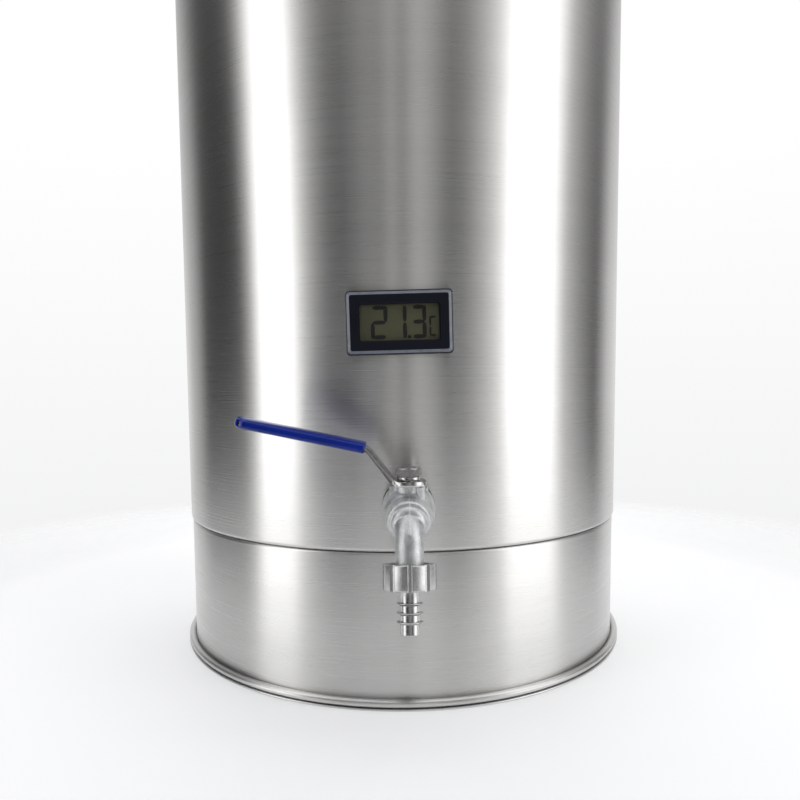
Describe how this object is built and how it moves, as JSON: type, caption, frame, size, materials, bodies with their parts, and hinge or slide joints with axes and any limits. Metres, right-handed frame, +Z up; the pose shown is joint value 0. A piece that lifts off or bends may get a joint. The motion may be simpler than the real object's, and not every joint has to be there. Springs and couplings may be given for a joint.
{
  "type": "brew kettle",
  "caption": "Tall double-walled brew kettle on a closed base skirt, with a lift-off lid, panel thermometer, lever ball-valve tap and hose tail.",
  "frame": {"origin": "on the vessel's axis, on the flat underside of the base plate, which is the surface the kettle stands on", "axes": "+Z up along the vessel's axis; -Y is the front, with the tap and the thermometer; +X is to the right seen from the front; the controls are on the back, towards +Y"},
  "size_m": [0.3536, 0.3088, 0.5026],
  "materials": {
    "brushed_steel": "circumferentially brushed stainless steel",
    "polished_steel": "polished stainless steel",
    "cast_steel": "investment-cast stainless steel, matte",
    "aluminium": "plain",
    "black_plastic": "moulded black plastic",
    "phenolic": "black phenolic",
    "window": "clear",
    "display": "grey-olive liquid-crystal panel",
    "circuit": "green circuit board",
    "rubber": "black",
    "silicone": "translucent white silicone",
    "ptfe": "white",
    "blue_vinyl": "dipped blue vinyl",
    "insulation": "glass-wool mat",
    "brass": "plain",
    "lead": "black insulated lead"
  },
  "bodies": {
    "kettle": {"inner_vessel": "brushed_steel", "outer_jacket": "brushed_steel", "insulation_sleeve": "insulation", "base_skirt": "brushed_steel", "base_plate": "brushed_steel", "handle_right": "polished_steel", "handle_grip_right": "phenolic", "handle_left": "polished_steel", "handle_grip_left": "phenolic", "handle_screw_right_back": "polished_steel", "handle_screw_right_front": "polished_steel", "handle_screw_left_back": "polished_steel", "handle_screw_left_front": "polished_steel", "meter_case": "black_plastic", "meter_window": "window", "meter_display": "display", "meter_board": "circuit", "meter_cell_left": "polished_steel", "meter_cell_right": "polished_steel", "meter_cover": "black_plastic", "thermowell": "polished_steel", "sensor_probe": "polished_steel", "sensor_lead": "lead", "tap_gasket": "rubber", "tap_body": "cast_steel", "tap_nipple": "polished_steel", "bulkhead_spacer": "polished_steel", "inner_seal": "silicone", "lock_nut": "polished_steel", "seat_rear": "ptfe", "seat_front": "ptfe", "stem_seal": "ptfe", "heat_spreader": "aluminium", "heating_element": "polished_steel", "thermal_cutout": "brass", "thermostat_dial": "black_plastic", "thermostat_body": "aluminium", "switch_body": "black_plastic", "power_inlet": "black_plastic", "live_pin": "brass", "neutral_pin": "brass", "earth_pin": "brass", "inlet_screw_left": "polished_steel", "inlet_screw_right": "polished_steel"},
    "lid": {"lid": "brushed_steel", "lid_knob": "phenolic", "lid_knob_washer": "polished_steel", "lid_knob_screw": "polished_steel"},
    "lever": {"valve_ball": "polished_steel", "valve_stem": "polished_steel", "lever_arm": "polished_steel", "lever_grip": "blue_vinyl", "lever_washer": "polished_steel", "stem_nut": "polished_steel"},
    "tail": {"tail_washer": "silicone", "hose_tail": "polished_steel"},
    "union": {"union_nut": "cast_steel"},
    "thermostat_knob": {"thermostat_knob": "black_plastic", "thermostat_spindle": "brass"},
    "switch_rocker": {"switch_rocker": "black_plastic"}
  },
  "joints": [
    {"name": "lid_lift", "type": "slide", "parent": "kettle", "child": "lid", "axis": [0, 0, 1], "range_m": [0, 0.15]},
    {"name": "lever_turn", "type": "hinge", "parent": "kettle", "child": "lever", "pos_m": [0.0024, -0.1458, 0.0958], "axis": [0, 0, 1], "range_deg": [0, 90]},
    {"name": "tail_drop", "type": "slide", "parent": "kettle", "child": "tail", "axis": [0, -0.1908, -0.9816], "range_m": [0, 0.00535]},
    {"name": "union_turn", "type": "hinge", "parent": "tail", "child": "union", "pos_m": [0.0024, -0.1596, 0.0849], "axis": [0, -0.1908, -0.9816], "range_deg": [-1440, 0]},
    {"name": "thermostat_turn", "type": "hinge", "parent": "kettle", "child": "thermostat_knob", "pos_m": [-0.07641, 0.10517, 0.038], "axis": [-0.5878, 0.809, 0], "range_deg": [-280, 0]},
    {"name": "switch_rock", "type": "hinge", "parent": "kettle", "child": "switch_rocker", "pos_m": [0.05979, 0.11735, 0.038], "axis": [0.891, -0.454, 0], "range_deg": [0, 20]}
  ],
  "couplings": [
    {"joint": "tail_drop", "follows": "union_turn", "m_per_rad": -0.00021279}
  ]
}
